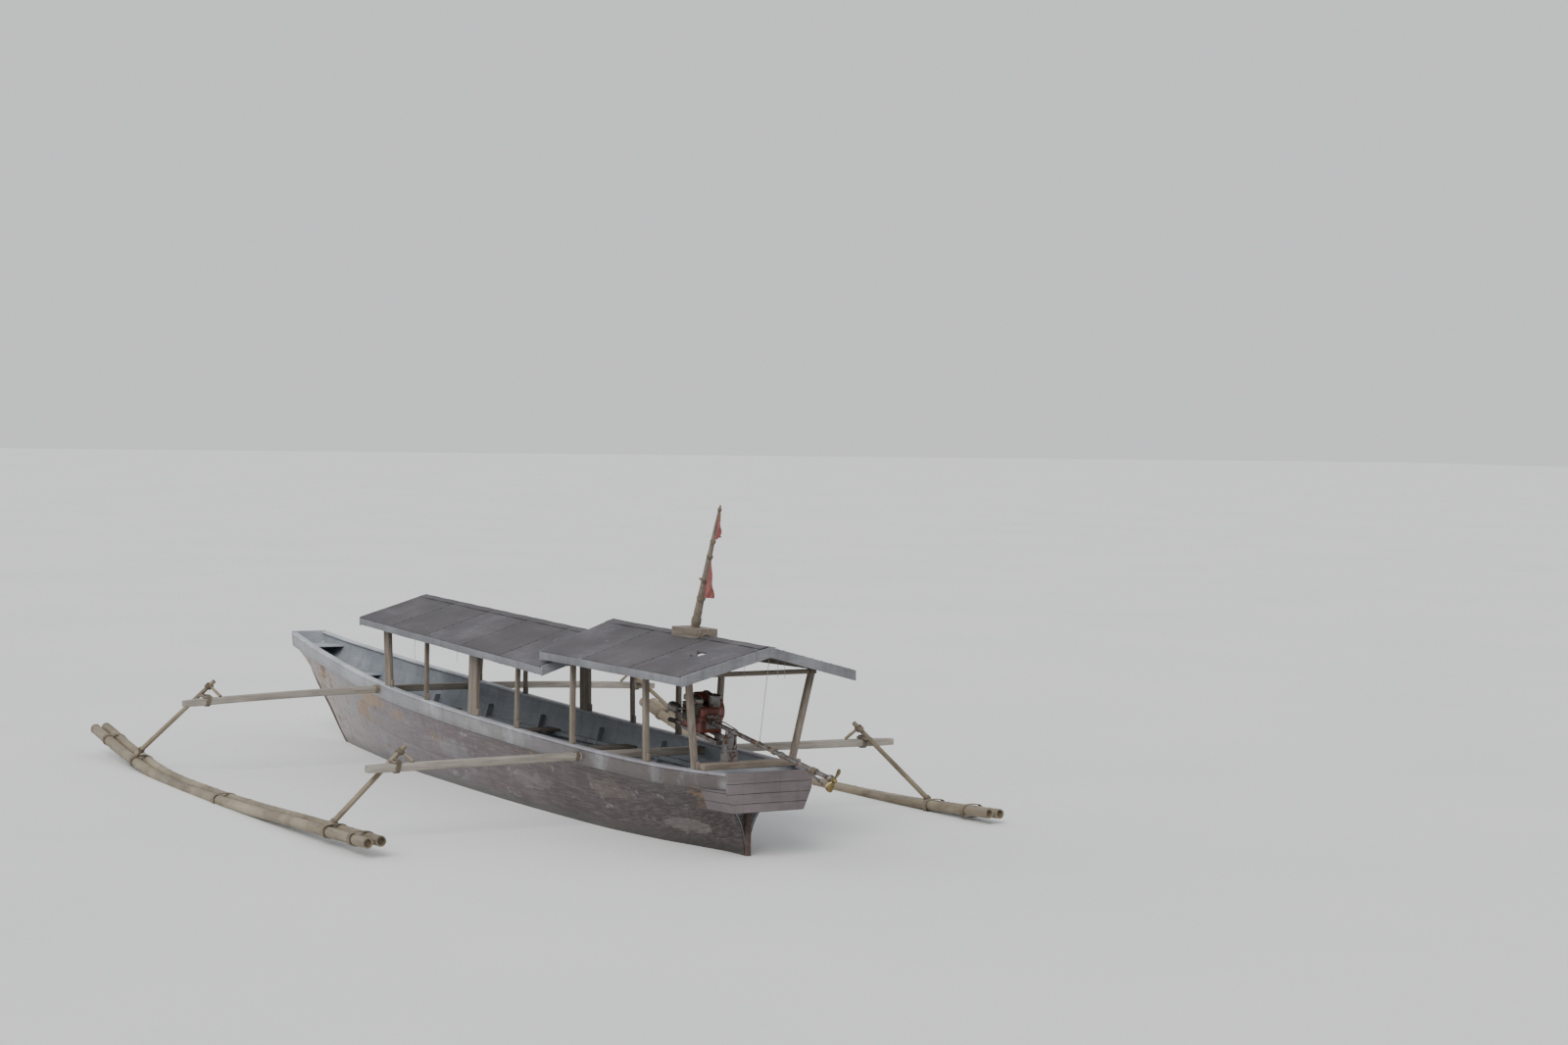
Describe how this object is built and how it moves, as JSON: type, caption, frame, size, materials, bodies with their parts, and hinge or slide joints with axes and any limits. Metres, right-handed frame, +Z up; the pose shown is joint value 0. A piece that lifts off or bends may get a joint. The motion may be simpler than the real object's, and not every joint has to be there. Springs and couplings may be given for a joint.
{
  "type": "motor outrigger canoe",
  "caption": "Long narrow planked canoe with outrigger floats on cross booms, a gable roof on posts and a long-tail engine that tilts and steers at the stern.",
  "frame": {"origin": "on the waterline amidships, on the hull's centre plane, 5 m ahead of the sternpost", "axes": "+X to the bow, +Y to port, +Z up"},
  "size_m": [12.295, 6.3532, 3.4893],
  "materials": {
    "keel": "worn dark paint",
    "hull_paint": "weathered purple-red paint",
    "strake_paint": "light grey paint, worn",
    "rail_paint": "grey paint, worn",
    "inside_paint": "blue-grey paint",
    "deck_paint": "grey paint",
    "bare_wood": "bare weathered timber",
    "roof_sheet": "dark weathered sheet",
    "fascia": "grey painted board",
    "bamboo": "sun-bleached bamboo",
    "engine_case": "red-brown paint and rust",
    "tank_paint": "red-brown paint",
    "steel": "dull, rusted in places",
    "blade": "dull",
    "cloth": "faded red cloth"
  },
  "bodies": {
    "boat": {"keel_and_stem": "keel", "hull_side_port": "hull_paint", "sheer_strake_port": "strake_paint", "rail_port": "rail_paint", "counter_side_port": "hull_paint", "roof_frame_front_port": "bare_wood", "roof_frame_aft_port": "bare_wood", "roof_slope_front_port": "roof_sheet", "roof_slope_aft_port": "roof_sheet", "float_port": "bamboo", "hull_side_starboard": "hull_paint", "sheer_strake_starboard": "strake_paint", "rail_starboard": "rail_paint", "counter_side_starboard": "hull_paint", "roof_frame_front_starboard": "bare_wood", "roof_frame_aft_starboard": "bare_wood", "roof_slope_front_starboard": "roof_sheet", "roof_slope_aft_starboard": "roof_sheet", "float_starboard": "bamboo", "stern_counter": "hull_paint", "stern_board": "hull_paint", "transom": "strake_paint", "bow_board": "strake_paint", "foredeck": "deck_paint", "fore_locker_deck": "deck_paint", "aft_deck": "deck_paint", "ribs_and_riser_port": "inside_paint", "ribs_and_riser_starboard": "inside_paint", "floorboards": "bare_wood", "thwart_118": "bare_wood", "thwart_335": "bare_wood", "thwart_500": "bare_wood", "thwart_725": "bare_wood", "gable_board_front_fore": "fascia", "gable_board_front_aft": "fascia", "ridge_pole_front": "bare_wood", "gable_board_aft_fore": "fascia", "gable_board_aft_aft": "fascia", "ridge_pole_aft": "bare_wood", "boom_fore": "bamboo", "boom_aft": "bamboo", "strut_fore_port": "bamboo", "strut_fore_starboard": "bamboo", "strut_aft_port": "bamboo", "strut_aft_starboard": "bamboo", "stern_beam": "bare_wood", "engine_socket": "steel", "flagstaff_base": "bare_wood", "flagstaff": "bare_wood", "pennant_upper": "cloth", "pennant_lower": "cloth", "rolled_curtain": "cloth"},
    "swivel": {"engine_swivel": "steel"},
    "engine": {"engine_block": "engine_case", "fuel_tank": "tank_paint", "air_filter": "steel", "tail_frame": "steel", "tiller": "steel"},
    "propeller": {"propeller": "blade"}
  },
  "joints": [
    {"name": "engine_steer", "type": "hinge", "parent": "boat", "child": "swivel", "pos_m": [-4.96, 0.19, 0.95], "axis": [0, 0, 1], "range_deg": [-25, 25]},
    {"name": "engine_tilt", "type": "hinge", "parent": "swivel", "child": "engine", "pos_m": [-4.96, 0.19, 1.045], "axis": [0, -1, 0], "range_deg": [0, 28]},
    {"name": "propeller_spin", "type": "hinge", "parent": "engine", "child": "propeller", "pos_m": [-6.6837, 0.19, 0.8745], "axis": [0.991, 0, 0.134], "continuous": true}
  ]
}
